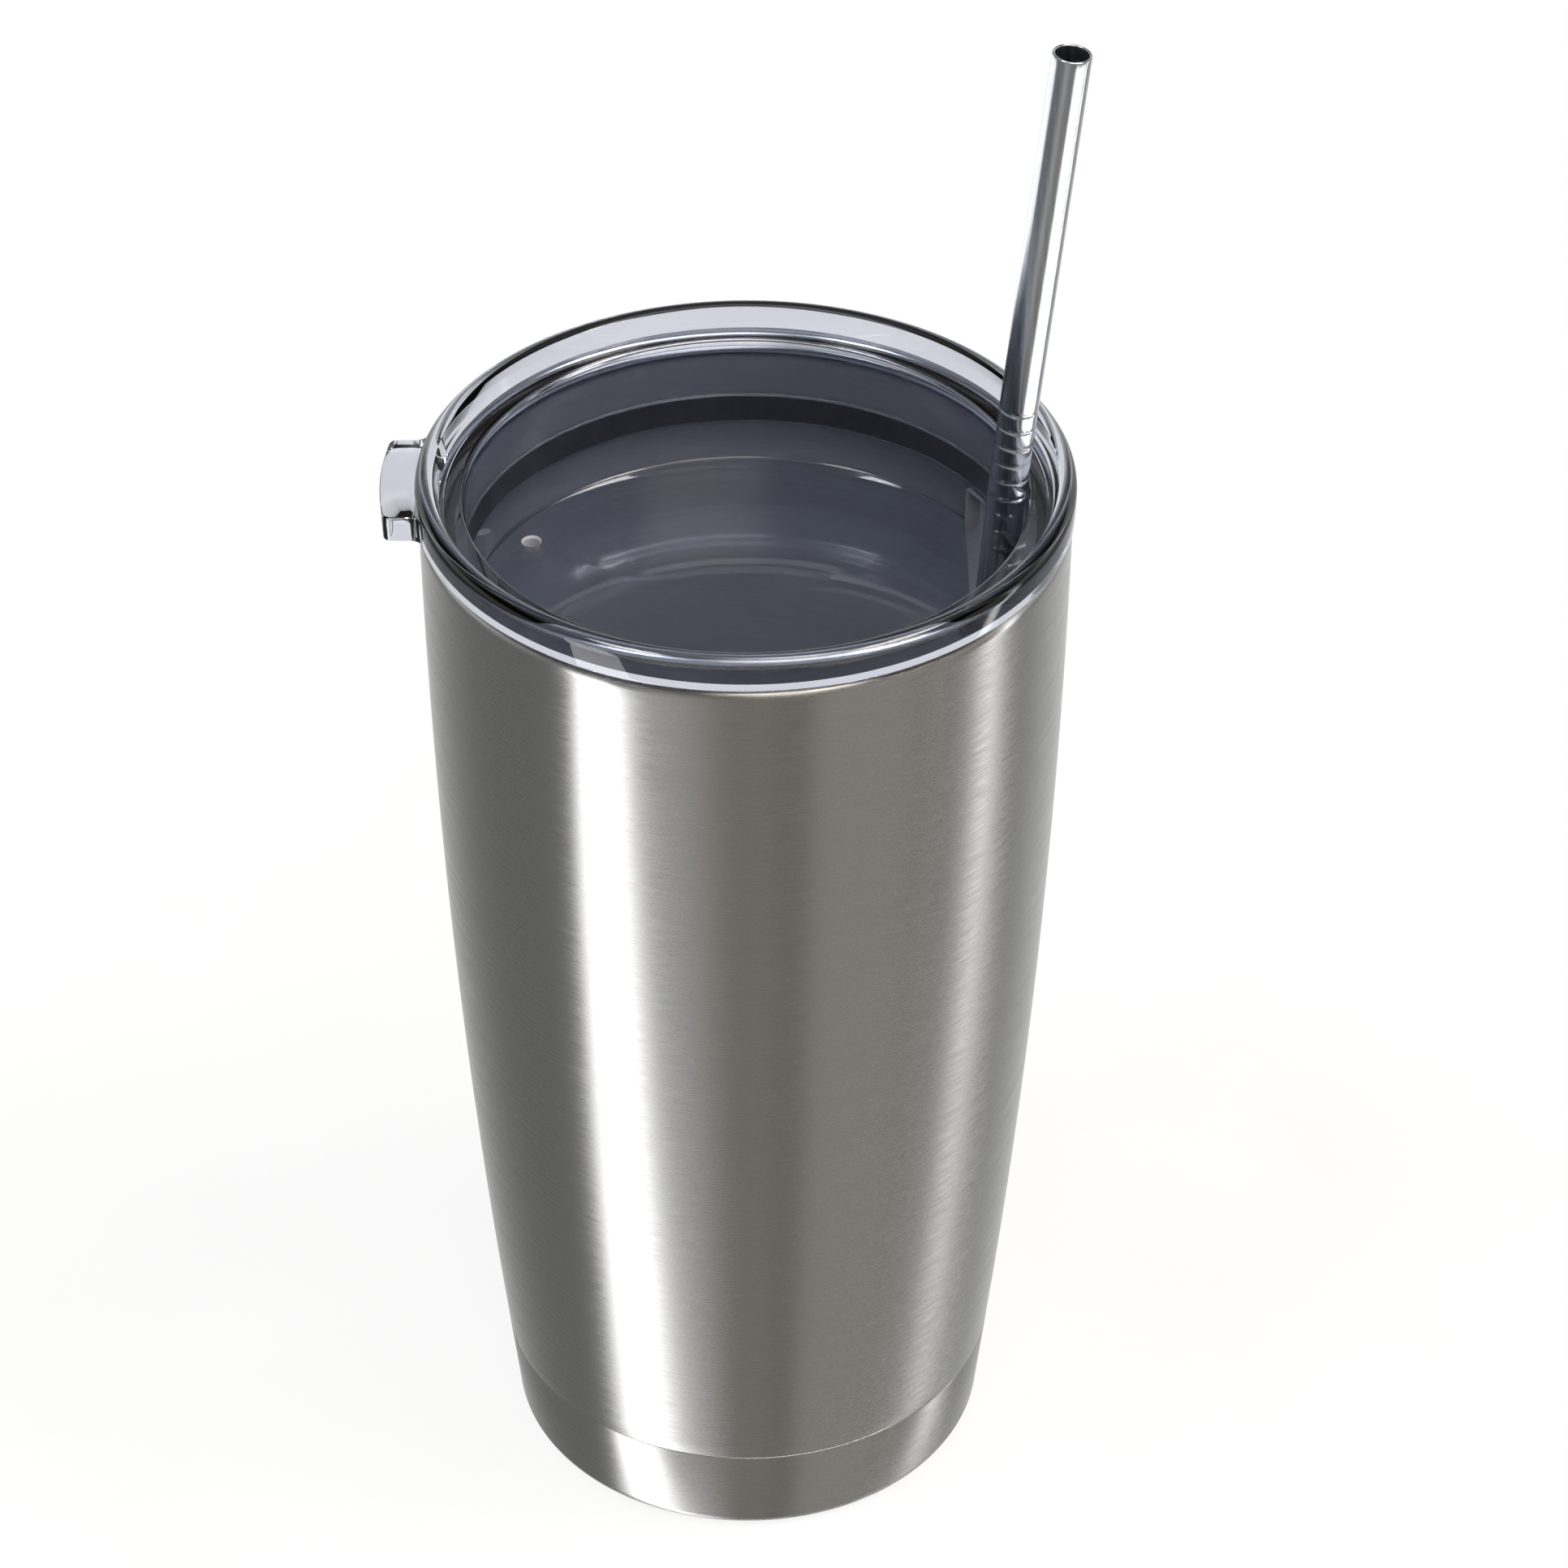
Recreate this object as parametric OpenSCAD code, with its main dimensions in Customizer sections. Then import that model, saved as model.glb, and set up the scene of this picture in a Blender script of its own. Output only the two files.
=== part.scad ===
// Insulated tumbler with a clear press-in lid and a metal drinking straw.
// Double-wall vacuum body, separate base cap, lid with a side tab, seal ring, bent straw.
// Origin: centre of the base, on the surface it stands on. +Z is up, the tab points to -X,
// the straw and the drinking mouth are on +X.

/* [Body] */
// Outside diameter at the rim
rim_d = 89; // [84:0.5:94]
// Height of the steel body without the lid
body_h = 159.5; // [145:0.5:175]
// Outside diameter at the seam between the body and the base cap
seam_d = 72.8; // [70:0.2:76]
// Height of that seam
seam_h = 15.4; // [12:0.1:18]
// Outside diameter just above the rounded foot
foot_d = 70; // [66:0.5:70]
// How far the side bows out past a straight cone at mid height
bulge = 1.85; // [0:0.05:3]
// Steel sheet thickness
wall = 0.6; // [0.5:0.05:0.8]
// Outside surface to drink-side surface
double_wall = 3.4; // [3:0.1:4]

/* [Lid] */
// Outside diameter of the lid's rim
lid_d = 89.8; // [89:0.1:91]
// Height of the lid's raised ridge above the body
ridge_h = 5.3; // [4.5:0.1:6]
// Inside diameter of the sunken well
well_d = 76.8; // [74:0.2:77]
// Depth of the well's floor below the body's rim
well_depth = 17.8; // [15:0.1:20]
// Outside diameter of the plug that drops into the cup
plug_d = 82; // [81:0.1:82.2]
// Thickness of the well's floor
floor_t = 2.5; // [2:0.1:3]
// Width of the lifting tab
tab_w = 19.4; // [14:0.2:22]
// How far the tab stands out of the lid's rim
tab_reach = 4.7; // [3:0.1:7]
// Diameter of the vent hole
vent_d = 2.3; // [1.5:0.1:3]
// Distance from the axis to the straight edge of the drinking mouth
mouth_x = 31; // [30:0.1:31]

/* [Straw] */
// Outside diameter of the straw
straw_d = 5.3; // [5:0.1:5.4]
// Wall of the straw
straw_wall = 0.4; // [0.3:0.05:0.5]
// Length of the leg below the bend
lower_leg = 153.4; // [140:0.1:160]
// Length of the leg above the bend
upper_leg = 64.7; // [50:0.1:80]
// Lean of the lower leg from the vertical, in degrees
lower_lean = 4.12; // [3.9:0.01:4.3]
// Lean of the upper leg from the vertical, in degrees
upper_lean = 5.67; // [4.5:0.01:8]
// Spacing of the bend's creases
crease_pitch = 2.7; // [2.4:0.1:3]

/* [Hidden] */
$fn = 96;

steel = "#9b9a97";
bright_steel = "#b4b4b6";
copper = "#b87345";
dark_metal = "#55565a";
clear_plastic = "#cfd6e2a0";
grey_silicone = "#3c4048";

rim_r = rim_d / 2;
seam_r = seam_d / 2;
foot_r = foot_d / 2;

// The lip is half a round, shared by the outer shell and the liner, which meet at its crest.
seat_r = 41.4;
lip_r = (rim_r - seat_r) / 2;
crest_r = rim_r - lip_r;
seat_low = body_h - 25;
seat_blend = 6;

// Bottom of the cup and of the vacuum space.
cup_floor = 10.5;
cup_corner = 6;
liner_low = cup_floor + cup_corner;
foot_round = 2.2;
fit_gap = 0.1;
skirt_low = 4;
shoulder = 0.9;
emboss_r = 21;
emboss_w = 3;
emboss_h = 0.4;
plate_rise = 1.2;
plate_r = 28;
dimple_r = 4;
evac_r = 1;
bead_r = 2;
getter_x = 14;
getter_r = 4.1;
getter_h = 2.2;
clip_base_t = 0.2;
clip_wall = 0.4;
foil_t = 0.15;
foil_low = 24;
foil_high = 120;

// Lid heights are measured from the body's rim.
lid_r = lid_d / 2;
plug_r = plug_d / 2;
well_r = well_d / 2;
lid_gap = 0.1;
ridge_round = 1.5;
shelf_r = 41.6;
shelf_h = 2.15;
edge_round = 0.6;
seal_low = -12.1;
seal_high = -7.9;
groove_r = plug_r - 1.2;
mouth_top = -13;
tab_top = 4;
tab_corner = 1.2;
vent_r_from_axis = 34.6;
vent_angle = 150.6;
cut_margin = 1;

// Seal ring: 0.05 mm clear of its groove and 0.07 mm clear of the cup.
seal_inner_r = groove_r + 0.05;
seal_body_r = 40.75;
seal_fin_r = seat_r - 0.07;
fin_t = 0.7;

// Straw: the bend is centred on its creases.
straw_r = straw_d / 2;
foot_x = 24.63;
foot_z = 11;
creases = 9;
crease_depth = 0.14;
crease_w = 0.5;
mitre_spare = 1;

// Outside radius of the body at a height: a cone between seam and rim with a parabolic bow.
function shell_r(z) = let (t = (z - seam_h) / (body_h - seam_h))
    seam_r + (rim_r - seam_r) * t + 4 * bulge * t * (1 - t);

// Outside radius of the base cap above its rounded foot.
function cap_r(z) = foot_r + (seam_r - foot_r) * (z - foot_round) / (seam_h - foot_round);

// Heights from low to high in equal steps.
function steps(low, high, n) = [for (i = [0:n]) low + (high - low) * i / n];

// Points of an arc.
function arc(cx, cz, r, a0, a1, n = 6) =
    [for (i = [0:n]) let (a = a0 + (a1 - a0) * i / n) [cx + r * cos(a), cz + r * sin(a)]];

module turned(points) {
    rotate_extrude() polygon(points);
}

module outer_shell() {
    side = steps(seam_h, body_h - 3, 22);
    inside = steps(body_h - 3, seam_h + shoulder, 22);
    skirt_r = cap_r(seam_h) - wall - fit_gap;
    skirt_low_r = cap_r(skirt_low) - wall - fit_gap;
    color(steel) turned(concat(
        [for (z = side) [shell_r(z), z]],
        arc(crest_r, body_h - lip_r, lip_r, 0, 90),
        arc(crest_r, body_h - lip_r, lip_r - wall, 90, 0),
        [for (z = inside) [shell_r(z) - wall, z]],
        [[skirt_r - wall, seam_h], [skirt_low_r - wall, skirt_low],
         [skirt_low_r, skirt_low], [skirt_r, seam_h]]));
}

// Wall of the drink side, from the welded bottom up to the lip, with a straight seat for the lid.
module inner_liner() {
    cup_side = steps(liner_low, seat_low - seat_blend, 16);
    color(bright_steel) turned(concat(
        [for (z = cup_side) [shell_r(z) - double_wall, z]],
        [[seat_r, seat_low]],
        arc(crest_r, body_h - lip_r, lip_r, 180, 90),
        arc(crest_r, body_h - lip_r, lip_r - wall, 90, 180),
        [[seat_r + wall, seat_low]],
        [for (i = [16:-1:0]) [shell_r(cup_side[i]) - double_wall + wall, cup_side[i]]]));
}

// Dished bottom of the drink side, butt-welded to the liner's wall.
module inner_bottom() {
    corner_r = shell_r(liner_low) - double_wall - cup_corner;
    color(bright_steel) turned(concat(
        [[0, cup_floor]],
        arc(corner_r, liner_low, cup_corner, -90, 0),
        arc(corner_r, liner_low, cup_corner + wall, 0, -90),
        [[0, cup_floor - wall]]));
}

// Reflective foil wrapped round the liner, inside the vacuum.
module heat_foil() {
    wrap = steps(foil_low, foil_high, 12);
    foil_gap = wall + foil_t;
    color(copper) turned(concat(
        [for (z = wrap) [shell_r(z) - double_wall + foil_gap + foil_t, z]],
        [for (i = [12:-1:0]) [shell_r(wrap[i]) - double_wall + foil_gap, wrap[i]]]));
}

// Plate that closes the vacuum space, welded to the end of the shell's skirt.
module vacuum_bottom() {
    rim = cap_r(skirt_low) - wall - fit_gap;
    low = skirt_low - wall;
    top = skirt_low + plate_rise;
    color(steel) turned([
        [evac_r, skirt_low], [evac_r, low + wall * 2], [dimple_r, low + wall * 2],
        [dimple_r + 1, top], [plate_r, top], [plate_r + 2, skirt_low], [rim, skirt_low],
        [rim, low], [plate_r + 2 - wall, low], [plate_r - wall, top - wall],
        [dimple_r + 1 + wall, top - wall], [dimple_r + wall, skirt_low]]);
}

// Gas-absorbing pellet that keeps the vacuum.
module getter() {
    color(dark_metal) translate([getter_x, 0, skirt_low + plate_rise + clip_base_t])
        cylinder(r = getter_r - fit_gap, h = getter_h);
}

module getter_clip() {
    color(bright_steel) translate([getter_x, 0, skirt_low + plate_rise]) difference() {
        union() {
            cylinder(r = getter_r + 2 * clip_wall, h = clip_base_t);
            cylinder(r = getter_r + clip_wall, h = getter_h - 2 * clip_base_t);
        }
        translate([0, 0, clip_base_t]) cylinder(r = getter_r, h = getter_h);
    }
}

// Solder that closes the hole through which the air was drawn out.
module seal_bead() {
    color(dark_metal) turned(concat(
        [[0, skirt_low + wall / 2], [evac_r, skirt_low + wall / 2], [evac_r, skirt_low]],
        arc(0, skirt_low, bead_r, 0, -90)));
}

module base_cap() {
    bottom_r = foot_r - foot_round;
    color(steel) turned(concat(
        [[0, 0], [emboss_r, 0], [emboss_r + emboss_h, emboss_h],
         [emboss_r + emboss_w, emboss_h], [emboss_r + emboss_w + emboss_h, 0]],
        arc(bottom_r, foot_round, foot_round, -90, 0),
        [[seam_r, seam_h], [seam_r - wall, seam_h]],
        arc(bottom_r, foot_round, foot_round - wall, 0, -90),
        [[emboss_r + emboss_w + emboss_h, wall], [emboss_r + emboss_w, wall + emboss_h],
         [emboss_r + emboss_h, wall + emboss_h], [emboss_r, wall], [0, wall]]));
}

// Section of the lid: sunken well, plug with a groove for the seal, raised ridge.
module lid_round() {
    bottom = -well_depth - floor_t;
    turned(concat(
        [[0, bottom], [plug_r - edge_round, bottom], [plug_r, bottom + edge_round],
         [plug_r, seal_low], [groove_r, seal_low], [groove_r, seal_high], [plug_r, seal_high],
         [plug_r, lid_gap], [lid_r - edge_round, lid_gap]],
        arc(lid_r - edge_round, lid_gap + edge_round, edge_round, -60, 0, 2),
        arc(lid_r - ridge_round, ridge_h - ridge_round, ridge_round, 0, 130, 9),
        [[shelf_r, shelf_h]],
        arc(well_r + edge_round, shelf_h - edge_round, edge_round, 90, 180, 4),
        arc(well_r - edge_round, edge_round - well_depth, edge_round, 0, -90, 4),
        [[0, -well_depth]]));
}

// Outline of the tab from above: its end is an arc round the lid's axis, with rounded corners.
module tab_outline() {
    end_r = lid_r + tab_reach;
    half = tab_w / 2;
    corner_x = -sqrt(pow(end_r - tab_corner, 2) - pow(half - tab_corner, 2));
    sweep = asin((half - tab_corner) / (end_r - tab_corner));
    root_x = -(lid_r - ridge_round);
    polygon(concat(
        [[root_x, half]],
        arc(corner_x, half - tab_corner, tab_corner, 90, 180 - sweep, 4),
        arc(0, 0, end_r, 180 - sweep, 180 + sweep, 12),
        arc(corner_x, tab_corner - half, tab_corner, 180 + sweep, 270, 4),
        [[root_x, -half]]));
}

// Outline of the drinking mouth from above: straight across the well, radial through its wall.
module mouth_outline() {
    half = sqrt(pow(well_r, 2) - pow(mouth_x, 2));
    far = rim_r / well_r;
    polygon([[mouth_x, -half], [mouth_x, -half] * far, [rim_d, 0], [mouth_x, half] * far,
             [mouth_x, half]]);
}

module lid() {
    vent = [cos(vent_angle), sin(vent_angle)] * vent_r_from_axis;
    low = -well_depth - floor_t - cut_margin;
    color(clear_plastic) translate([0, 0, body_h]) difference() {
        union() {
            lid_round();
            translate([0, 0, lid_gap]) linear_extrude(tab_top - lid_gap) tab_outline();
        }
        translate([0, 0, low]) linear_extrude(mouth_top - low) mouth_outline();
        translate([vent[0], vent[1], low]) cylinder(d = vent_d, h = floor_t + 2 * cut_margin);
    }
}

module lid_gasket() {
    low = seal_low + fit_gap;
    high = seal_high - fit_gap;
    mid = (low + high) / 2;
    color(grey_silicone) translate([0, 0, body_h]) turned([
        [seal_inner_r, low], [seal_body_r, low], [seal_fin_r, low + fin_t],
        [seal_fin_r, low + 2 * fin_t], [seal_body_r, mid], [seal_fin_r, high - 2 * fin_t],
        [seal_fin_r, high - fin_t], [seal_body_r, high], [seal_inner_r, high]]);
}

// One leg of the straw from z = start up: creases are V grooves centred on the given heights.
module straw_leg(start, length, grooves) {
    turned(concat(
        [[straw_r - straw_wall, start], [straw_r, start]],
        [for (g = grooves, step = [-1:1])
            [straw_r - (step == 0 ? crease_depth : 0), g + step * crease_w / 2]],
        [[straw_r, length], [straw_r - straw_wall, length]]));
}

// A block with one face on the z = 0 plane, above it or below it, to cut the legs' mitre.
module mitre_block(side) {
    translate([0, 0, side * straw_d]) cube([2, 2, 2] * straw_d, center = true);
}

// Two tubes mitred where the straw bends, at the middle crease.
module straw() {
    turn = upper_lean - lower_lean;
    half = (creases - 1) / 2;
    low_grooves = [for (i = [half:-1:1]) lower_leg - i * crease_pitch];
    high_grooves = [for (i = [1:half]) i * crease_pitch];
    color(bright_steel) translate([foot_x, 0, foot_z]) rotate([0, lower_lean, 0]) {
        difference() {
            straw_leg(0, lower_leg + mitre_spare, low_grooves);
            translate([0, 0, lower_leg]) rotate([0, turn / 2, 0]) mitre_block(1);
        }
        difference() {
            translate([0, 0, lower_leg]) rotate([0, turn, 0])
                straw_leg(-mitre_spare, upper_leg, high_grooves);
            translate([0, 0, lower_leg]) rotate([0, turn / 2, 0]) mitre_block(-1);
        }
    }
}

outer_shell();
inner_liner();
inner_bottom();
heat_foil();
vacuum_bottom();
getter();
getter_clip();
seal_bead();
base_cap();
lid();
lid_gasket();
straw();
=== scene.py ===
"""Looks for the insulated tumbler: brushed steel body, clear lid, seal ring and bent straw."""

import math

import bmesh
import bpy
from mathutils import Matrix, Vector


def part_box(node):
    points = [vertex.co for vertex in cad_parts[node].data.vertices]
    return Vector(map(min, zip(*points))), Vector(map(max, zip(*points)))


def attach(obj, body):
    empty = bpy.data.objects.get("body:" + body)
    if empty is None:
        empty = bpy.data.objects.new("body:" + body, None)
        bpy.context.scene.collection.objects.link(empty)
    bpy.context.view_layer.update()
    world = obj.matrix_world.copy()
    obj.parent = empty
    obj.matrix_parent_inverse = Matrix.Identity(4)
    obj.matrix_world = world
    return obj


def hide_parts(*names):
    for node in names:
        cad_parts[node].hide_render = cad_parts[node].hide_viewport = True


MM = 0.001
# A radius below the first is on the axis, and an edge that rises less than the second lies level.
ON_AXIS, LEVEL = 1e-7, 1e-9

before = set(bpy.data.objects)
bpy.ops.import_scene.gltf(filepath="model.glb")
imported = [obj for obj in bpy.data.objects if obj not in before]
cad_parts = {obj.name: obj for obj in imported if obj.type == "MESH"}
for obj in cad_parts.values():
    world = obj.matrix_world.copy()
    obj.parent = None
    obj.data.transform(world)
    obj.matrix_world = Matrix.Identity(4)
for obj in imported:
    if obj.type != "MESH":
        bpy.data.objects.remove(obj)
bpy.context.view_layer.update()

# ---------------------------------------------------------------- sizes read from the frame
_, body_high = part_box("outer_shell")
lid_low, lid_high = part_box("lid")
_, cap_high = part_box("base_cap")
seal_low, seal_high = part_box("lid_gasket")

RIM_Z = body_high[2]
RIM_R = body_high[0]
SEAM_Z = cap_high[2]
SEAM_R = cap_high[0]
LID_R = lid_high[1]
RIDGE_Z = lid_high[2]
LID_BOTTOM = lid_low[2]

# ---------------------------------------------------------------- sizes shared with the CAD part
FOOT_R = 35.0 * MM
FOOT_ROUND = 2.2 * MM
BULGE = 1.85 * MM
WALL = 0.6 * MM
DOUBLE_WALL = 3.4 * MM
SEAT_R = 41.4 * MM
LIP_R = (RIM_R - SEAT_R) / 2
CUP_FLOOR = 10.5 * MM
CUP_CORNER = 6.0 * MM
SEAT_LOW = RIM_Z - 25 * MM
SEAT_BLEND = 6 * MM
WELL_R = 38.4 * MM
WELL_DEPTH = 17.8 * MM
FLOOR_T = 2.5 * MM
PLUG_R = 41.0 * MM
SHELF_R = 41.6 * MM
SHELF_H = 2.15 * MM
RIDGE_ROUND = 1.5 * MM
EDGE_ROUND = 0.6 * MM
LID_GAP = 0.1 * MM
SEAL_LOW = -12.1 * MM
SEAL_HIGH = -7.9 * MM
GROOVE_R = PLUG_R - 1.2 * MM
MOUTH_X = 31.0 * MM
MOUTH_TOP = -13.0 * MM
TAB_TOP = 4.0 * MM
TAB_W = 19.4 * MM
TAB_REACH = 4.7 * MM
VENT_D = 2.3 * MM
VENT_R = 34.6 * MM
VENT_ANGLE = math.radians(150.6)
STRAW_R = 2.65 * MM
STRAW_WALL = 0.4 * MM
STRAW_FOOT = Vector((24.63, 0, 11.0)) * MM
LOWER_LEG = 153.4 * MM
UPPER_LEG = 64.7 * MM
LOWER_LEAN = math.radians(4.12)
UPPER_LEAN = math.radians(5.67)
CREASE_PITCH = 2.7 * MM
CREASES = 9

# ---------------------------------------------------------------- fine edges that only the looks need
SEAM_CORNER = 0.12 * MM
TAB_CORNER = 1.2 * MM
TAB_FLARE = 1.6 * MM
TAB_BEVEL = 0.25 * MM
VENT_FLARE = 0.3 * MM
CREASE_DEPTH = 0.09 * MM
CREASE_SHOULDER = 0.015 * MM
SEAL_BODY_R = 40.75 * MM
SEAL_CLEAR = 0.07 * MM
FIN_TIP = 0.3 * MM
BODY_SEGMENTS = 256


def shell_radius(z):
    """Outside radius of the body: a cone from seam to rim with a parabolic bow."""
    t = (z - SEAM_Z) / (RIM_Z - SEAM_Z)
    return SEAM_R + (RIM_R - SEAM_R) * t + 4 * BULGE * t * (1 - t)


# ---------------------------------------------------------------- mesh helpers
def arc(cx, cz, r, a0, a1, n):
    """Points of an arc in the section plane, angles in degrees."""
    turn = [math.radians(a0 + (a1 - a0) * i / n) for i in range(n + 1)]
    return [(cx + r * math.cos(a), cz + r * math.sin(a)) for a in turn]


def make_object(name, bm, sharp_deg=30, material=None):
    """Turns a bmesh into a smooth-shaded object with edges above sharp_deg kept crisp."""
    bmesh.ops.recalc_face_normals(bm, faces=bm.faces)
    for face in bm.faces:
        face.smooth = True
    for edge in bm.edges:
        edge.smooth = edge.calc_face_angle(0) < math.radians(sharp_deg)
    mesh = bpy.data.meshes.new(name)
    bm.to_mesh(mesh)
    bm.free()
    if material:
        mesh.materials.append(material)
    obj = bpy.data.objects.new(name, mesh)
    bpy.context.scene.collection.objects.link(obj)
    return obj


def turned(name, section, segments=192, sharp_deg=30, material=None):
    """Revolves a closed section of (radius, height) points round Z. A radius of 0 is on the axis."""
    bm = bmesh.new()
    rings = []
    for r, z in section:
        if r < ON_AXIS:
            rings.append([bm.verts.new((0, 0, z))])
            continue
        ring = []
        for i in range(segments):
            a = 2 * math.pi * i / segments
            ring.append(bm.verts.new((r * math.cos(a), r * math.sin(a), z)))
        rings.append(ring)
    for low, high in zip(rings, rings[1:] + rings[:1]):
        if len(low) == 1 and len(high) == 1:
            continue
        for i in range(segments):
            j = (i + 1) % segments
            corners = [low[i % len(low)], low[j % len(low)], high[j % len(high)], high[i % len(high)]]
            bm.faces.new(list(dict.fromkeys(corners)))
    return make_object(name, bm, sharp_deg, material)


def spaced(low, high, n):
    """n + 1 evenly spaced values from low to high."""
    return [low + (high - low) * i / n for i in range(n + 1)]


# ---------------------------------------------------------------- materials
# The part of a noise texture's range in which a colour or a roughness runs from end to end.
NOISE = (0.3, 0.7)
NOISE_INNER = (0.32, 0.68)
NOISE_UPPER = (0.35, 0.7)


class Nodes:
    """A small helper round one node tree."""

    def __init__(self, tree):
        self.tree = tree

    def add(self, kind, **values):
        """Adds a node and sets its properties, or its input sockets by name."""
        node = self.tree.nodes.new("ShaderNode" + kind)
        for key, value in values.items():
            if hasattr(node, key):
                setattr(node, key, value)
            else:
                node.inputs[key.replace("_", " ")].default_value = value
        return node

    def link(self, source, target):
        self.tree.links.new(source, target)

    def feed(self, node, values):
        """Sets or links a node's input sockets in order, and gives its first output."""
        for socket, value in zip(node.inputs, values):
            if isinstance(value, (int, float)):
                socket.default_value = value
            else:
                self.link(value, socket)
        return node.outputs[0]

    def math(self, operation, *values):
        return self.feed(self.add("Math", operation=operation), values)

    def vector(self, x, y, z):
        return self.feed(self.add("CombineXYZ"), (x, y, z))

    def ramp(self, source, low, high, out_low, out_high):
        """Maps source from low..high to out_low..out_high."""
        node = self.add("MapRange")
        self.link(source, node.inputs["Value"])
        ends = {"From Min": low, "From Max": high, "To Min": out_low, "To Max": out_high}
        for key, value in ends.items():
            node.inputs[key].default_value = value
        return node.outputs[0]

    def place(self):
        """The point shaded, in the object's own space."""
        return self.add("TexCoord").outputs["Object"]

    def split(self, vector):
        node = self.add("SeparateXYZ")
        self.link(vector, node.inputs[0])
        return node.outputs["X"], node.outputs["Y"], node.outputs["Z"]

    def noise(self, vector, scale, detail=3.0, rough=0.6):
        node = self.add("TexNoise", Scale=scale, Detail=detail, Roughness=rough)
        self.link(vector, node.inputs["Vector"])
        return node.outputs["Fac"]


class MaterialNodes(Nodes):
    """The nodes of a new material. Values given by name are set on the shader's own sockets."""

    def __init__(self, name, **values):
        self.material = bpy.data.materials.new(name)
        self.material.use_nodes = True
        super().__init__(self.material.node_tree)
        self.shader = self.tree.nodes["Principled BSDF"]
        for key, value in values.items():
            self.shader.inputs[key.replace("_", " ")].default_value = value

    def colour(self, factor, dark, light):
        node = self.add("Mix", data_type="RGBA")
        self.link(factor, node.inputs["Factor"])
        node.inputs["A"].default_value = (*dark, 1)
        node.inputs["B"].default_value = (*light, 1)
        self.link(node.outputs["Result"], self.shader.inputs["Base Color"])

    def roughness(self, source):
        self.link(source, self.shader.inputs["Roughness"])

    def bump(self, height, strength, depth):
        node = self.add("Bump", Strength=strength, Distance=depth)
        self.link(height, node.inputs["Height"])
        self.link(node.outputs["Normal"], self.shader.inputs["Normal"])


def brushed_steel(name, light, dark, roughness, anisotropy, strokes, lip_polish=1.0):
    """Steel brushed round the Z axis in short fine strokes, and smoother on the lip by lip_polish."""
    fine_share, spread, quarter_turn, broad_ratio = 0.8, 0.055, 0.25, 12
    m = MaterialNodes(name, Metallic=1.0, Anisotropic=anisotropy, Anisotropic_Rotation=quarter_turn)
    x, y, height = m.split(m.place())
    angle = m.math("ARCTAN2", y, x)
    x, y = m.math("COSINE", angle), m.math("SINE", angle)
    along, across = strokes
    fine = m.noise(m.vector(m.math("MULTIPLY", x, along), m.math("MULTIPLY", y, along),
                            m.math("MULTIPLY", height, across)), scale=1.0, detail=3.0, rough=0.65)
    broad = m.noise(m.vector(x, y, m.math("MULTIPLY", height, across / broad_ratio)),
                    scale=1.4, detail=2.0, rough=0.5)
    mixed = m.math("ADD", m.math("MULTIPLY", fine, fine_share), m.math("MULTIPLY", broad, 1 - fine_share))
    m.colour(m.ramp(mixed, *NOISE, 0, 1), dark, light)
    rough = m.ramp(mixed, *NOISE_INNER, roughness + spread, roughness - spread)
    if lip_polish < 1:
        lip_from, lip_to = RIM_Z - 2.4 * MM, RIM_Z - 1.4 * MM
        rough = m.math("MULTIPLY", rough, m.ramp(height, lip_from, lip_to, 1.0, lip_polish))
    m.roughness(rough)
    m.bump(mixed, strength=0.06, depth=0.03 * MM)
    tangent = m.add("Tangent", direction_type="RADIAL", axis="Z")
    m.link(tangent.outputs[0], m.shader.inputs["Tangent"])
    return m.material


def polished_steel(name):
    """Bright drawn tube: faint lines along its length and a little haze."""
    m = MaterialNodes(name, Metallic=1.0)
    stretch = m.add("Mapping")
    m.link(m.place(), stretch.inputs["Vector"])
    across, along = 2600, 90
    stretch.inputs["Scale"].default_value = (across, across, along)
    streak = m.noise(stretch.outputs[0], scale=1.0)
    m.colour(m.ramp(streak, *NOISE, 0, 1), dark=(0.575, 0.60, 0.635), light=(0.69, 0.72, 0.76))
    m.roughness(m.ramp(streak, *NOISE, 0.17, 0.24))
    m.bump(streak, strength=0.08, depth=0.02 * MM)
    return m.material


def clear_plastic(name):
    """Clear moulded copolyester: faint flow waviness and the slight haze of a handled surface."""
    m = MaterialNodes(name, Base_Color=(0.66, 0.685, 0.75, 1), Transmission_Weight=1.0, IOR=1.52)
    place = m.place()
    m.roughness(m.ramp(m.noise(place, scale=140.0, detail=2.0, rough=0.5), *NOISE_UPPER, 0.0, 0.035))
    m.bump(m.noise(place, scale=60.0, detail=1.0, rough=0.4), strength=0.02, depth=0.2 * MM)
    return m.material


def frosted_plastic(name):
    """The lid's plastic where a core or a cutter left it matt: the vent's bore and the mouth's edges."""
    m = MaterialNodes(name, Base_Color=(0.62, 0.65, 0.72, 1), Transmission_Weight=0.35, IOR=1.52)
    grain = m.noise(m.place(), scale=3000.0, detail=2.0)
    m.roughness(m.ramp(grain, *NOISE, 0.42, 0.55))
    m.bump(grain, strength=0.1, depth=0.03 * MM)
    return m.material


def silicone(name):
    """Grey silicone with a dusty bloom."""
    m = MaterialNodes(name, IOR=1.41, Specular_IOR_Level=0.4)
    dust = m.noise(m.place(), scale=900.0)
    m.colour(m.ramp(dust, *NOISE_UPPER, 0, 1), dark=(0.11, 0.12, 0.135), light=(0.14, 0.15, 0.165))
    m.roughness(m.ramp(dust, *NOISE_UPPER, 0.38, 0.5))
    m.bump(dust, strength=0.1, depth=0.05 * MM)
    return m.material


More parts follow.
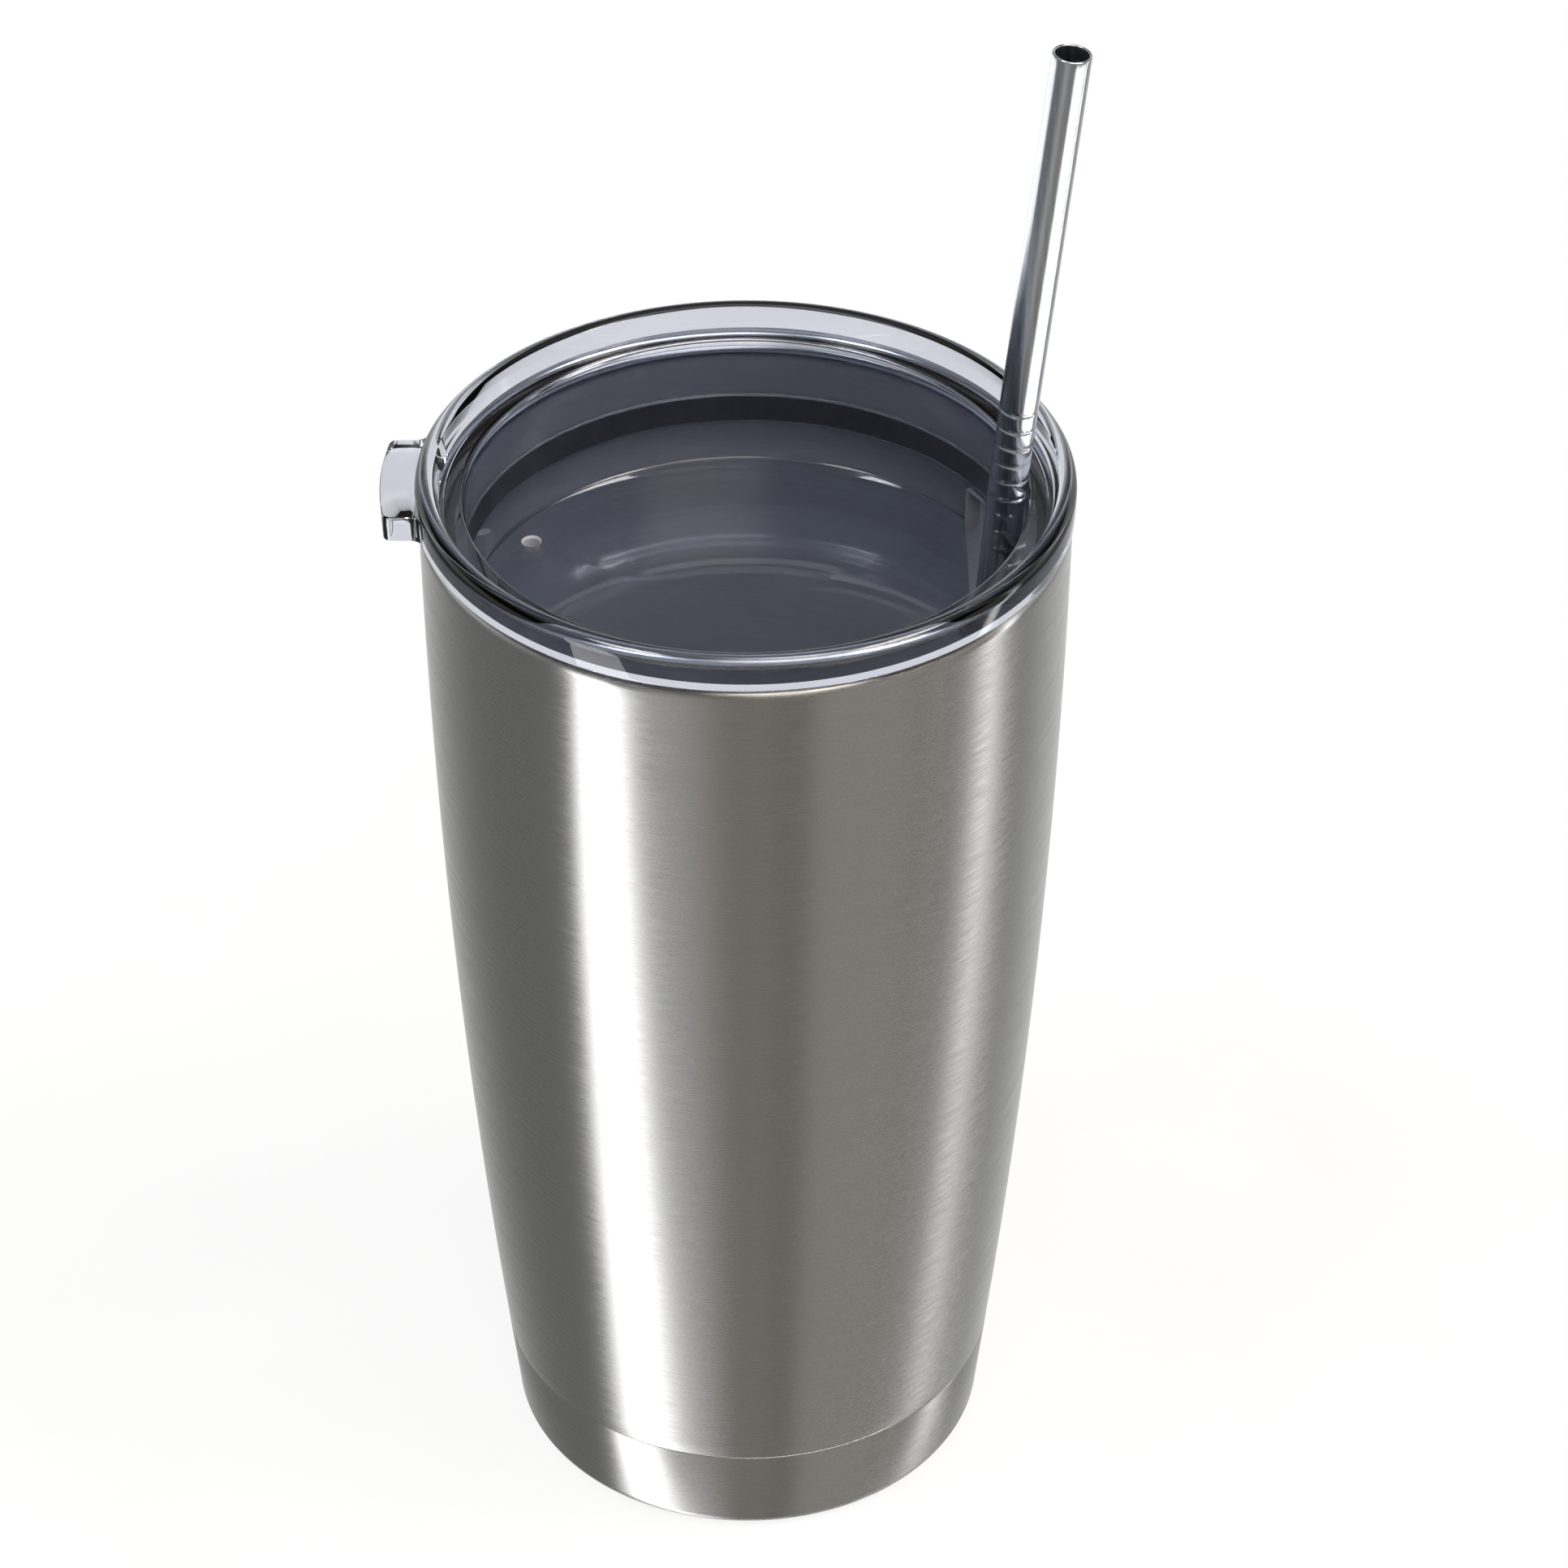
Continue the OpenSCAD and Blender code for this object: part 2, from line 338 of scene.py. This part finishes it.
def plain_metal(name, dark, light, roughness, grain):
    """Foil, solder and pressed powder: a metal with an uneven, grainy surface."""
    spread = 0.08
    m = MaterialNodes(name, Metallic=1.0)
    speckle = m.noise(m.place(), scale=grain, detail=4.0, rough=0.65)
    m.colour(m.ramp(speckle, *NOISE, 0, 1), dark, light)
    m.roughness(m.ramp(speckle, *NOISE, roughness - spread, roughness + spread))
    m.bump(speckle, strength=0.3, depth=0.1 * MM)
    return m.material


STEEL = brushed_steel("brushed_steel", (0.53, 0.525, 0.518), (0.49, 0.485, 0.478),
                      roughness=0.26, anisotropy=0.9, strokes=(9, 7000))
LINER = brushed_steel("liner_steel", (0.74, 0.765, 0.82), (0.70, 0.725, 0.78),
                      roughness=0.75, anisotropy=0.0, strokes=(6, 3500), lip_polish=0.3)
CHROME = polished_steel("polished_steel")
CLEAR = clear_plastic("clear_plastic")
FROSTED = frosted_plastic("frosted_plastic")
SILICONE = silicone("silicone")
FOIL = plain_metal("copper_foil", (0.55, 0.27, 0.15), (0.78, 0.42, 0.26), 0.28, 400.0)
POWDER = plain_metal("getter_metal", (0.05, 0.05, 0.055), (0.16, 0.16, 0.17), 0.6, 2500.0)
SOLDER = plain_metal("solder", (0.3, 0.31, 0.33), (0.46, 0.47, 0.49), 0.4, 900.0)


def finish_piece(obj, body, slot, *nodes):
    """Gives a made piece its body and lets it stand for CAD nodes; the slot is not used."""
    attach(obj, body)
    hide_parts(*nodes)
    return obj


def finish_node(name, material):
    """Puts a material on a CAD node that is shown as it is."""
    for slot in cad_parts[name].material_slots:
        slot.material = material


# ---------------------------------------------------------------- body
def outer_shell():
    """The outer wall with its half of the lip, and the skirt that the base cap hides."""
    lip_z, corner = RIM_Z - LIP_R, SEAM_CORNER
    skirt_z, side_top = 4 * MM, RIM_Z - 3 * MM
    side = spaced(SEAM_Z + 2 * corner, side_top, 60)
    section = arc(SEAM_R - corner, SEAM_Z + corner, corner, -90, 0, 4)
    section += [(shell_radius(z), z) for z in side]
    section += arc(RIM_R - LIP_R, lip_z, LIP_R, 0, 90, 12)
    section += arc(RIM_R - LIP_R, lip_z, LIP_R - WALL, 90, 0, 8)
    section += [(shell_radius(z) - WALL, z) for z in reversed(side)]
    section += [(SEAM_R - 2.2 * WALL, SEAM_Z), (FOOT_R - 1.6 * WALL, skirt_z),
                (FOOT_R - 0.8 * WALL, skirt_z), (SEAM_R - 1.2 * WALL, SEAM_Z)]
    body = turned("outer_body", section, BODY_SEGMENTS, 30, STEEL)
    return finish_piece(body, "tumbler", "brushed_steel", "outer_shell")


def base_cap():
    """The cup below the seam, with a shallow stamped ring underneath."""
    corner = SEAM_CORNER
    inner = FOOT_R - FOOT_ROUND
    ring_low, ring_high, ring_rise = 21 * MM, 24 * MM, 0.4 * MM
    section = [(0, 0)] + [(ring_low, 0), (ring_low + ring_rise, ring_rise), (ring_high, ring_rise),
                          (ring_high + ring_rise, 0)]
    section += arc(inner, FOOT_ROUND, FOOT_ROUND, -90, 0, 12)
    section += arc(SEAM_R - corner, SEAM_Z - corner, corner, 0, 90, 4)
    section += [(SEAM_R - WALL, SEAM_Z)]
    section += arc(inner, FOOT_ROUND, FOOT_ROUND - WALL, 0, -90, 8)
    section += [(ring_high + ring_rise, WALL), (ring_high, WALL + ring_rise),
                (ring_low + ring_rise, WALL + ring_rise), (ring_low, WALL), (0, WALL)]
    cup = turned("base_cup", section, BODY_SEGMENTS, 40, STEEL)
    return finish_piece(cup, "tumbler", "brushed_steel", "base_cap")


def liner():
    """The drink side: its wall with the inner half of the lip, and its bottom."""
    low = CUP_FLOOR + CUP_CORNER
    lip_z = RIM_Z - LIP_R
    side = spaced(low, SEAT_LOW - SEAT_BLEND, 40)
    inner = [(shell_radius(z) - DOUBLE_WALL, z) for z in side]
    outer = [(r + WALL, z) for r, z in reversed(inner)]
    section = inner + [(SEAT_R, SEAT_LOW)]
    section += arc(RIM_R - LIP_R, lip_z, LIP_R, 180, 90, 12)
    section += arc(RIM_R - LIP_R, lip_z, LIP_R - WALL, 90, 180, 8)
    section += [(SEAT_R + WALL, SEAT_LOW)] + outer
    finish_piece(turned("liner_wall", section, material=LINER), "tumbler", "liner_steel", "inner_liner")
    corner_r = shell_radius(low) - DOUBLE_WALL - CUP_CORNER
    section = [(0, CUP_FLOOR)] + arc(corner_r, low, CUP_CORNER, -90, 0, 16)
    section += arc(corner_r, low, CUP_CORNER + WALL, 0, -90, 16) + [(0, CUP_FLOOR - WALL)]
    finish_piece(turned("liner_bottom", section, material=LINER), "tumbler", "liner_steel", "inner_bottom")


# ---------------------------------------------------------------- lid
def combined(obj, tool, operation, material):
    """Applies one exact boolean and removes the tool; the faces it leaves get the given material."""
    tool.data.materials.append(material)
    step = obj.modifiers.new(operation, "BOOLEAN")
    step.operation, step.solver, step.object = operation, "EXACT", tool
    step.material_mode = "TRANSFER"
    graph = bpy.context.evaluated_depsgraph_get()
    mesh = bpy.data.meshes.new_from_object(obj.evaluated_get(graph))
    obj.modifiers.clear()
    obj.data = mesh
    bpy.data.objects.remove(tool)
    return obj


def prism(name, outline, low, high, bevel=0.0):
    """Extrudes an outline of (x, y) points, with its top and bottom edges rounded."""
    bm = bmesh.new()
    base = bm.faces.new([bm.verts.new((x, y, low)) for x, y in outline])
    grown = bmesh.ops.extrude_face_region(bm, geom=[base])
    top = [v for v in grown["geom"] if isinstance(v, bmesh.types.BMVert)]
    bmesh.ops.translate(bm, vec=(0, 0, high - low), verts=top)
    if bevel:
        flat = [e for e in bm.edges if abs(e.verts[0].co.z - e.verts[1].co.z) < LEVEL]
        bmesh.ops.bevel(bm, geom=flat, offset=bevel, segments=3, profile=0.5, affect="EDGES")
    return make_object(name, bm)


def tab_outline():
    """The tab from above: an arc round the lid's axis with rounded corners and flared roots."""
    end_r, half, corner, flare = LID_R + TAB_REACH, TAB_W / 2, TAB_CORNER, TAB_FLARE
    corner_x = -math.sqrt((end_r - corner) ** 2 - (half - corner) ** 2)
    sweep = math.degrees(math.asin((half - corner) / (end_r - corner)))
    root_x = -(SHELF_R + 1.2 * MM)
    meet_x = -math.sqrt((LID_R + flare) ** 2 - (half + flare) ** 2)
    side = [(root_x, half + flare)]
    side += arc(meet_x, half + flare, flare, 0, -90, 6)
    side += arc(corner_x, half - corner, corner, 90, 180 - sweep, 5)
    end = arc(0, 0, end_r, 180 - sweep, 180 + sweep, 16)[1:-1]
    return side + end + [(x, -y) for x, y in reversed(side)]


def lid_section():
    """Half of the lid's profile, from the axis below round to the axis on the well's floor."""
    bottom = -WELL_DEPTH - FLOOR_T
    soft = 0.25 * MM
    section = [(0, bottom)] + arc(PLUG_R - EDGE_ROUND, bottom + EDGE_ROUND, EDGE_ROUND, -90, 0, 6)
    section += [(PLUG_R, SEAL_LOW), (GROOVE_R, SEAL_LOW), (GROOVE_R, SEAL_HIGH), (PLUG_R, SEAL_HIGH)]
    section += arc(PLUG_R + soft, LID_GAP - soft, soft, 180, 90, 3)
    section += arc(LID_R - EDGE_ROUND, LID_GAP + EDGE_ROUND, EDGE_ROUND, -90, 0, 6)
    section += arc(LID_R - RIDGE_ROUND, RIDGE_Z - RIM_Z - RIDGE_ROUND, RIDGE_ROUND, 0, 130, 16)
    section += [(SHELF_R, SHELF_H)]
    section += arc(WELL_R + EDGE_ROUND, SHELF_H - EDGE_ROUND, EDGE_ROUND, 90, 180, 8)
    section += arc(WELL_R - EDGE_ROUND, EDGE_ROUND - WELL_DEPTH, EDGE_ROUND, 0, -90, 8)
    section += [(0, -WELL_DEPTH)]
    return [(r, z + RIM_Z) for r, z in section]


def lid():
    """The turned lid with its tab added, and its mouth and vent cut out."""
    body = turned("lid_body", lid_section())
    body.data.materials.append(CLEAR)
    tab = prism("tab", tab_outline(), RIM_Z + 1.5 * LID_GAP, RIM_Z + TAB_TOP, TAB_BEVEL)
    combined(body, tab, "UNION", CLEAR)
    low = LID_BOTTOM - MM
    half, far = math.sqrt(WELL_R ** 2 - MOUTH_X ** 2), RIM_R / WELL_R
    outline = [(MOUTH_X, -half), (MOUTH_X * far, -half * far), (2 * RIM_R, 0),
               (MOUTH_X * far, half * far), (MOUTH_X, half)]
    mouth = prism("mouth", outline, low, RIM_Z + MOUTH_TOP)
    combined(body, mouth, "DIFFERENCE", FROSTED)
    flare, top, vent_r = VENT_FLARE, RIM_Z - WELL_DEPTH, VENT_D / 2
    section = [(0, low), (vent_r, low), (vent_r, top - flare), (vent_r + 2 * flare, top + flare),
               (0, top + flare)]
    vent = turned("vent", section, 48)
    vent_at = (VENT_R * math.cos(VENT_ANGLE), VENT_R * math.sin(VENT_ANGLE), 0)
    vent.data.transform(Matrix.Translation(vent_at))
    combined(body, vent, "DIFFERENCE", FROSTED)
    body.data.set_sharp_from_angle(angle=math.radians(25))
    return finish_piece(body, "lid", "clear_plastic", "lid")


def seal_ring():
    """The ring in the plug's groove, with two rounded fins."""
    low, high = seal_low[2], seal_high[2]
    inner, body_r, fin_r, tip = GROOVE_R + 0.05 * MM, SEAL_BODY_R, SEAT_R - SEAL_CLEAR, FIN_TIP
    quarter = (high - low) / 4
    section = [(inner, low), (body_r, low)]
    for middle in (low + quarter, high - quarter):
        section += [(body_r, middle - 2 * tip)] + arc(fin_r - tip, middle, tip, -80, 80, 8)
        section += [(body_r, middle + 2 * tip)]
    section += [(body_r, high), (inner, high)]
    ring = turned("seal_ring", section, material=SILICONE)
    return finish_piece(ring, "seal_ring", "silicone", "lid_gasket")


# ---------------------------------------------------------------- straw
def leaning(lean):
    """Unit vector up along a straw that leans this far from the vertical."""
    return Vector((math.sin(lean), 0, math.cos(lean)))


def straw_frame(s):
    """Centre and sideways direction of the straw at a length s from its foot."""
    bend = CREASES * CREASE_PITCH
    start = LOWER_LEG - bend / 2
    point, lean = STRAW_FOOT + leaning(LOWER_LEAN) * min(s, start), LOWER_LEAN
    if s > start:
        run = min(s - start, bend)
        lean = LOWER_LEAN + (UPPER_LEAN - LOWER_LEAN) * run / bend
        point += leaning((LOWER_LEAN + lean) / 2) * run
        point += leaning(lean) * (s - start - run)
    return point, Vector((math.cos(lean), 0, -math.sin(lean)))


def straw_stations():
    """(length, radius) round the tube's wall: up the outside, over the lip, down the bore."""
    total, round_r = LOWER_LEG + UPPER_LEG, STRAW_WALL / 2
    middle_r = STRAW_R - round_r
    groove = ((-0.6, 0), (-0.15, CREASE_SHOULDER), (0, CREASE_DEPTH), (0.15, CREASE_SHOULDER), (0.6, 0))
    stations = [(LOWER_LEG * i / 40, STRAW_R) for i in range(1, 34)]
    for k in range(CREASES):
        at = LOWER_LEG + (k - (CREASES - 1) / 2) * CREASE_PITCH
        stations += [(at + offset * MM, STRAW_R - depth) for offset, depth in groove]
    stations += [(s, STRAW_R) for s in spaced(stations[-1][0], total - MM, 12)[1:]]
    stations += [(s, r) for r, s in arc(middle_r, total - round_r, round_r, 0, 180, 8)]
    stations += [(s, STRAW_R - STRAW_WALL) for s in spaced(total - MM, MM, 60)]
    stations += [(s, r) for r, s in arc(middle_r, round_r, round_r, 180, 360, 8)]
    return stations


def straw():
    """The bent tube, as one closed skin round its wall."""
    sides, sideways = 64, Vector((0, 1, 0))
    turn = [2 * math.pi * i / sides for i in range(sides)]
    bm = bmesh.new()
    rings = []
    for s, r in straw_stations():
        centre, across = straw_frame(s)
        rings.append([bm.verts.new(centre + (across * math.cos(a) + sideways * math.sin(a)) * r)
                      for a in turn])
    for low, high in zip(rings, rings[1:] + rings[:1]):
        for i in range(sides):
            j = (i + 1) % sides
            bm.faces.new((low[i], low[j], high[j], high[i]))
    return finish_piece(make_object("straw_tube", bm, 60, CHROME), "straw", "polished_steel", "straw")


outer_shell()
base_cap()
liner()
lid()
seal_ring()
straw_tube = straw()
finish_node("heat_foil", FOIL)
finish_node("vacuum_bottom", LINER)
finish_node("getter", POWDER)
finish_node("getter_clip", LINER)
finish_node("seal_bead", SOLDER)


# ---------------------------------------------------------------- studio
# The elevation is in degrees, the pan and the roll in radians, the lens and the sensor in millimetres.
CAMERA_ELEVATION = 36.649
CAMERA_DISTANCE = 746.1 * MM
AIM_HEIGHT = 111.67 * MM
CAMERA_PAN = 0.00708
CAMERA_ROLL = -0.00257
LENS = 121.12
SENSOR = 36
CLIP = (0.05, 100)
FLOOR_HALF = 40.0
FLOOR_GLOW = 0.86
FLOOR_DROP = 0.05 * MM

# Strips of the walls below the horizon, which the steel's sides mirror: the azimuth in degrees, with
# 0 at the camera and 90 on the right, half the width, the soft edge's width, and the radiance.
STRIPS = ((-28, 12, 20, 0.2), (-8, 18, 5, 0.04), (43, 19, 6, 0.13), (70, 4, 4, 0.16),
          (95, 2.5, 3, 4.0), (137, 20, 30, 0.2))
# Heights in the world are sines of the elevation. A pair gives where something sets in and where it is
# full, or where it starts to fade and where it has faded.
ROOM, BEHIND, BEHIND_AZIMUTHS = 0.2, 1.1, (105, 180)
CEILING_SHARE, CEILING_HEIGHTS = 0.15, (-0.1, 0.45)
WALL_AZIMUTHS, WALL_FOOT, WALL_TOP = (40, 120), (-0.12, 0.0), (0.32, 0.42)
# Soft boxes above: azimuth, elevation, half angle, radiance. The edge lies between two shares of the
# half angle.
LAMPS = ((-60, 60, 8, 12.0), (75, 57, 10, 14.0), (20, 55, 20, 3.5), (0, 90, 37, 0.5))
LAMP_EDGE = (0.8, 1.2)
# The warm side of the room, as a tint, its azimuth and where it fades to each side.
WARM, WARM_AZIMUTH, WARM_EDGE = (1.07, 1.0, 0.93), 35, (50, 60)
# Panels: name, azimuth, elevation, width, height, radiance, distance, and whether the straw is left out
# or is all that they light.
PANELS = (("key", -52, -42, 0.29, 1.6, 3.2, 1.0, "EXCLUDE"),
          ("straw_right", 56, -38, 0.62, 0.5, 1.7, 0.6, "INCLUDE"),
          ("straw_left", -125, -32, 0.7, 0.6, 1.3, 0.6, "INCLUDE"))


def towards(side, lift):
    """Unit vector to an azimuth and elevation in degrees, seen from the object."""
    a, e = math.radians(side), math.radians(lift)
    return Vector((math.cos(e) * math.sin(a), -math.cos(e) * math.cos(a), math.sin(e)))


def camera():
    """The photograph's viewpoint, turned a little by the pan and the roll."""
    to_camera, right = towards(0, CAMERA_ELEVATION), Vector((1, 0, 0))
    forward = -to_camera
    up = right.cross(forward)
    forward, right = (forward * math.cos(CAMERA_PAN) + right * math.sin(CAMERA_PAN),
                      right * math.cos(CAMERA_PAN) - forward * math.sin(CAMERA_PAN))
    right, up = (right * math.cos(CAMERA_ROLL) + up * math.sin(CAMERA_ROLL),
                 up * math.cos(CAMERA_ROLL) - right * math.sin(CAMERA_ROLL))
    data = bpy.data.cameras.new("camera")
    data.lens, data.sensor_width = LENS, SENSOR
    data.clip_start, data.clip_end = CLIP
    obj = bpy.data.objects.new("camera", data)
    place = Matrix((right, up, -forward)).transposed().to_4x4()
    place.translation = Vector((0, 0, AIM_HEIGHT)) + to_camera * CAMERA_DISTANCE
    obj.matrix_world = place
    bpy.context.scene.collection.objects.link(obj)
    bpy.context.scene.camera = obj


def floor():
    """A wide white table that glows, so that it reads as seamless paper."""
    bm = bmesh.new()
    bmesh.ops.create_grid(bm, x_segments=1, y_segments=1, size=FLOOR_HALF)
    obj = make_object("floor", bm)
    m = MaterialNodes("white_paper", Roughness=0.9, Emission_Color=(1, 1, 1, 1),
                      Emission_Strength=FLOOR_GLOW)
    grain = m.noise(m.place(), scale=30.0, detail=2.0, rough=0.5)
    m.colour(m.ramp(grain, *NOISE, 0, 1), dark=(0.10, 0.10, 0.10), light=(0.11, 0.11, 0.11))
    obj.data.materials.append(m.material)
    obj.visible_glossy = False
    obj.visible_shadow = False
    obj.location.z = -FLOOR_DROP


def panel(straw_tube, name, side, lift, wide, tall, radiance, distance, state):
    """A flat soft panel facing the object from one side. Its state says how it treats the straw."""
    data = bpy.data.lights.new(name, "AREA")
    data.shape, data.size, data.size_y = "RECTANGLE", wide, tall
    data.energy = radiance * math.pi * wide * tall
    obj = bpy.data.objects.new(name, data)
    bpy.context.scene.collection.objects.link(obj)
    out = towards(side, lift)
    centre = Vector((0, 0, RIM_Z / 2)) + out * distance
    obj.matrix_world = Matrix.Translation(centre) @ out.to_track_quat("Z", "Y").to_matrix().to_4x4()
    linked = bpy.data.collections.new(name)
    linked.objects.link(straw_tube)
    obj.light_linking.receiver_collection = linked
    for entry in linked.collection_objects:
        entry.light_linking.link_state = state


def studio_world():
    """A white room with strip lights round the object, a bright back wall and soft boxes above."""
    world = bpy.data.worlds.new("studio")
    world.use_nodes = True
    bpy.context.scene.world = world
    m = Nodes(world.node_tree)
    background = m.tree.nodes["Background"]
    direction = m.add("TexCoord").outputs["Generated"]
    x, y, height = m.split(direction)
    degrees = m.math("MULTIPLY", m.math("ARCTAN2", x, m.math("MULTIPLY", y, -1)), 180 / math.pi)
    turned_away = m.math("ABSOLUTE", degrees)
    behind = m.math("POWER", m.ramp(turned_away, *BEHIND_AZIMUTHS, 0, 1), 2)
    total = m.math("ADD", m.math("MULTIPLY", behind, BEHIND), ROOM)
    for centre, half, edge, strength in STRIPS:
        away = m.math("ABSOLUTE", m.math("SUBTRACT", degrees, centre))
        total = m.math("ADD", total, m.ramp(away, half - edge / 2, half + edge / 2, strength, 0))
    total = m.math("MULTIPLY", total, m.ramp(height, *CEILING_HEIGHTS, 1.0, CEILING_SHARE))
    wall = m.math("MULTIPLY", m.ramp(turned_away, *WALL_AZIMUTHS, 0, 1), m.ramp(height, *WALL_FOOT, 0, 1))
    wall = m.math("MULTIPLY", wall, m.ramp(height, *WALL_TOP, 1, 0))
    total = m.math("MAXIMUM", total, wall)
    for side, lift, half, strength in LAMPS:
        facing = m.add("VectorMath", operation="DOT_PRODUCT")
        m.link(direction, facing.inputs[0])
        facing.inputs[1].default_value = towards(side, lift)
        inner, outer = (math.cos(math.radians(half * share)) for share in LAMP_EDGE)
        total = m.math("ADD", total, m.ramp(facing.outputs["Value"], outer, inner, 0, strength))
    m.link(total, background.inputs["Strength"])
    tint = m.add("Mix", data_type="RGBA")
    off_axis = m.math("ABSOLUTE", m.math("SUBTRACT", degrees, WARM_AZIMUTH))
    m.link(m.ramp(off_axis, *WARM_EDGE, 1, 0), tint.inputs["Factor"])
    tint.inputs["A"].default_value = (1, 1, 1, 1)
    tint.inputs["B"].default_value = (*WARM, 1)
    m.link(tint.outputs["Result"], background.inputs["Color"])


camera()
floor()
studio_world()
for values in PANELS:
    panel(straw_tube, *values)
bpy.context.scene.view_settings.view_transform = "Standard"
